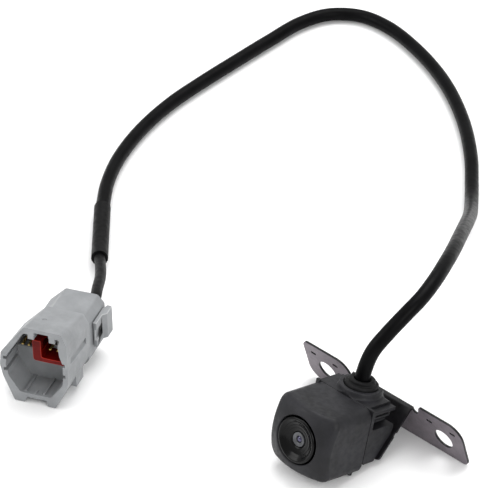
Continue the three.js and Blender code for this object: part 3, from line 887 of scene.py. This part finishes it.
def screw(x):
    head_back = -2.5
    profile = [(0, 4.4), (0.75, 4.4), (1.0, 4.0), (1.0, -1.2), (0.98, -1.3), (1.75, -1.3), (1.9, -1.42),
               (1.9, -1.75), (1.75, -2.1), (1.35, -2.38), (0.8, head_back), (0, head_back)]
    piece = turned(profile, on_plate(x, SCREW_UP, 0), PLATE_FRONT, 64)
    middle = on_plate(x, SCREW_UP, head_back)
    cross = [
        prism(rectangle(-1.05, -0.17, 1.05, 0.17, 0), X, PLATE_UP, PLATE_FRONT, -0.1, 0.75, middle),
        prism(rectangle(-0.17, -1.05, 0.17, 1.05, 0), X, PLATE_UP, PLATE_FRONT, -0.1, 0.75, middle),
    ]
    return cut(piece, join(*cross))


for side_name, x in (("left", -SCREW_X), ("right", SCREW_X)):
    seat(screw(x), f"screw_{side_name}_pan_head", BODY, [f"bracket_screw_{side_name}"], "camera",
         (screw_steel,), edge=0.04, steps=2)

# ---- Plug --------------------------------------------------------------------------------------

HALF = 10.75
HIGH = 26.9
MOUTH_DEPTH = 12.6
SHROUD = 16.5
NECK_END = 20.6
LEDGE_START = 8.5
LEDGE_TOP = 13.4
CAP_START = 18.4
CAP_END = 31.3
TAPER = 4
TAPER_START = 8
PIN_Z = 17.6
PIN_X = (-4.7, -2.8, 3.8, 6.2)
TAIL_X = 3
TAIL_Z = 11


def along_plug(outline, low, high):
    return prism(outline, X, Z, Y, low, high)


def tapered(piece):
    """Lowers the top of a piece towards the rear of the shroud."""
    for vertex in piece.data.vertices:
        share = max(0, vertex.co.z - TAPER_START) / (HIGH - TAPER_START)
        vertex.co.z -= TAPER * share * vertex.co.y / SHROUD
    return piece


def plug_housing():
    outline = rounded([
        (-6.4, 0, 0.4), (-3.2, 0, 0.3), (-2.5, 2, 0.3), (3.6, 2, 0.3), (3.8, 0, 0.3), (6.3, 0, 0.5),
        (10.4, 8.3, 1.6), (HALF, 11.5, 1.6), (HALF, 23, 2.2), (9.2, HIGH, 1.1), (-2.2, HIGH, 1.4),
        (-9.9, 16.4, 1.6), (-10.4, 12, 1.6), (-9.6, 8.1, 1.6),
    ])
    inner = rounded([
        (-4.6, 3.4, 1.4), (5, 3.4, 1.4), (8.9, 8.7, 1.8), (9.2, 12, 1.2), (9.2, 16.5, 0.8),
        (8.4, 19, 0.8), (8, 22.4, 0.8), (8.8, 24.9, 0.6), (-2.4, 24.7, 0.8), (-8, 15.9, 1.2),
        (-8.6, 12, 1.4), (-7.8, 8.5, 1.8),
    ], 7)
    shroud = tapered(along_plug(outline, 0, SHROUD))
    neck = along_plug(rectangle(-5.5, 4.5, 7, 16, 0.8), SHROUD - 1, NECK_END)
    join(shroud, neck)
    cut(shroud, tapered(along_plug(inner, -1, MOUTH_DEPTH)))
    ledge_back = MOUTH_DEPTH + 1
    ledge = prism(
        rounded([(LEDGE_START, 2.4), (ledge_back, 2.4), (ledge_back, LEDGE_TOP),
                 (LEDGE_START, LEDGE_TOP, 0.5)]),
        Y, Z, X, -8.8, 9.4)
    teeth = [along_plug(rectangle(x - 0.9, 23.2, x + 0.9, HIGH - 1.6), 0, 5) for x in (-0.15, 6.35)]
    rails = [along_plug(rectangle(x - 0.3, 2.6, x + 0.3, 3.9), 0.7, 9) for x in (-3.1, 2.6)]
    rails.append(along_plug(rectangle(-0.5, 2.6, 0.3, 3.7), 0.5, 2))
    pin_block = along_plug(rounded([(2.5, 15.6), (8.9, 15.6), (8.9, 18.4, 0.4), (4.6, 19.6, 0.6)]),
                           7.6, MOUTH_DEPTH + 0.4)
    join(shroud, ledge, pin_block, *teeth, *rails)
    cuts = [along_plug(rectangle(0.9, 23, 5.3, 25.7, 0.2), -1, 3)]
    for z in (10.6, 14.6):
        cuts.append(along_plug(rectangle(-9.3, z - 0.55, 0, z + 0.55), -1, 8.2))
    for z in (12.1, 16.0):
        cuts.append(along_plug(rectangle(0, z - 0.55, 9.95, z + 0.55), -1, 5.5))
    cuts.append(along_plug(rectangle(-4.1, 6, 5.6, 14), MOUTH_DEPTH + 1.4, 30))
    cuts.append(block((-6.3, 14.2, 12), (7, 15.6, 18.6)))
    for x in PIN_X:
        cuts.append(along_plug(rectangle(x - 0.7, PIN_Z - 0.7, x + 0.7, PIN_Z + 0.7), 7, 15))
    cuts.append(rod(1.25, Vector((11.35, 2.4, 16.4)), Vector((11.35, 13.8, 15.6))))
    dimple = [(0, -0.45), (0.5, -0.4), (0.75, -0.1), (0.8, 1), (0, 1)]
    roof = HIGH - TAPER * 7.7 / SHROUD
    cuts.append(turned(dimple, (1, 7.7, roof), Z, 32))
    return cut(shroud, *cuts)


seat(plug_housing(), "plug_housing_moulding", PLUG, ["plug_housing"], "camera",
     (plug_grey, plug_rim_painted_highlight), edge=0.22)

lock_outline = rounded([
    (-1, 13.8, 0.9), (8.6, 13.8, 0.25), (8.6, 15.2, 0.25), (1.6, 15.2, 0.7), (1.6, 21, 0.25),
    (-1, 21, 0.25),
])


def secondary_lock():
    lock = along_plug(lock_outline, 2.6, 11)
    window = block((-0.2, 4.4, 17), (2.6, 9.6, 19.6))
    return cut(lock, window)


seat(secondary_lock(), "secondary_lock_slide", PLUG, ["secondary_lock"], "lock",
     (lock_red, lock_rim_painted_highlight), edge=0.15)


def plug_cap():
    outline = rounded([
        (-6, 3, 1.2), (8, 3, 0.6), (9.4, 5, 0.6), (9.4, 16.5, 0.8), (7.4, 19, 1.2), (-2.6, 19, 1.4),
        (-8, 13.5, 1.4), (-8, 6, 1.4),
    ])
    cap = along_plug(outline, CAP_START, CAP_END)
    pocket = along_plug(rectangle(-5.8, 4.2, 7.3, 16.3), CAP_START - 1, NECK_END + GAP)
    chamber = block((-2, 20.5, 7), (7, 28.6, 15))
    throat = rod(2.6, (TAIL_X, 26, TAIL_Z), (TAIL_X, CAP_END + 1, TAIL_Z))
    grip = [along_plug(rectangle(-9, z - 0.25, -7.7, z + 0.25), 21, 29.5) for z in (8, 9.4, 10.8)]
    return cut(cap, pocket, chamber, throat, *grip)


seat(plug_cap(), "plug_cap_moulding", PLUG, ["plug_cap"], "camera",
     (plug_grey, plug_rim_painted_highlight), edge=0.3)


def cap_clip():
    plan = rounded([
        (9.7, 21.5, 0.2), (10.8, 21.5, 0.3), (10.8, 26, 0.6), (11.9, 27, 0.4), (11.9, 31, 0.4),
        (10.4, 31, 0.3), (9.7, 29, 0.5),
    ])
    clip = prism(plan, X, Y, Z, 7.6, 16.2)
    return cut(clip, block((10.3, 20.5, 10.2), (13, 25.6, 13.6)))


seat(cap_clip(), "cap_clip_arm", PLUG, ["cap_clip"], "clip", (plug_grey, plug_rim_painted_highlight),
     edge=0.18)

seal_profile = [(2.0, 21.6), (3.1, 21.6), (3.3, 21.9), (3.3, 22.5), (3.0, 22.9), (3.0, 23.3),
                (3.3, 23.7), (3.3, 24.3), (3.0, 24.7), (3.3, 25.1), (3.3, 25.8), (3.1, 26.0), (2.0, 26.0)]
seat(turned(seal_profile, (TAIL_X, 0, TAIL_Z), Y, 48), "wire_seal_ribbed", PLUG, ["wire_seal"], "camera",
     (seal_black,))

for number, x in enumerate(PIN_X, 1):
    pin = prism(rounded([(4, PIN_Z - 0.12), (4.7, PIN_Z - 0.32), (15.2, PIN_Z - 0.32), (15.2, PIN_Z + 0.32),
                         (4.7, PIN_Z + 0.32), (4, PIN_Z + 0.12)]), Y, Z, X, x - 0.32, x + 0.32)
    seat(pin, f"terminal_{number}_blade", PLUG, [f"terminal_{number}"], "camera",
         (terminal_brass,), edge=0.06, steps=2)

# ---- Pieces carried over from the CAD model, inside the body -----------------------------------

CARRIED_OVER = {
    "shell_gasket": seal_black,
    "lens_o_ring": seal_black,
    "middle_lens": lens_glass,
    "rear_lens": lens_glass,
    "ir_filter": lens_glass,
    "lens_spacer": chip_black,
    "lens_holder": housing_black,
    "image_sensor": chip_black,
    "sensor_board": board_green,
    "board_plug": chip_black,
    "main_board": board_green,
    "video_chip": chip_black,
    "wire_socket": socket_white,
}
for node, material in CARRIED_OVER.items():
    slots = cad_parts[node].data.materials
    slots.clear()
    slots.append(material)

# ---- Last update of the scene ------------------------------------------------------------------

bpy.context.view_layer.update()
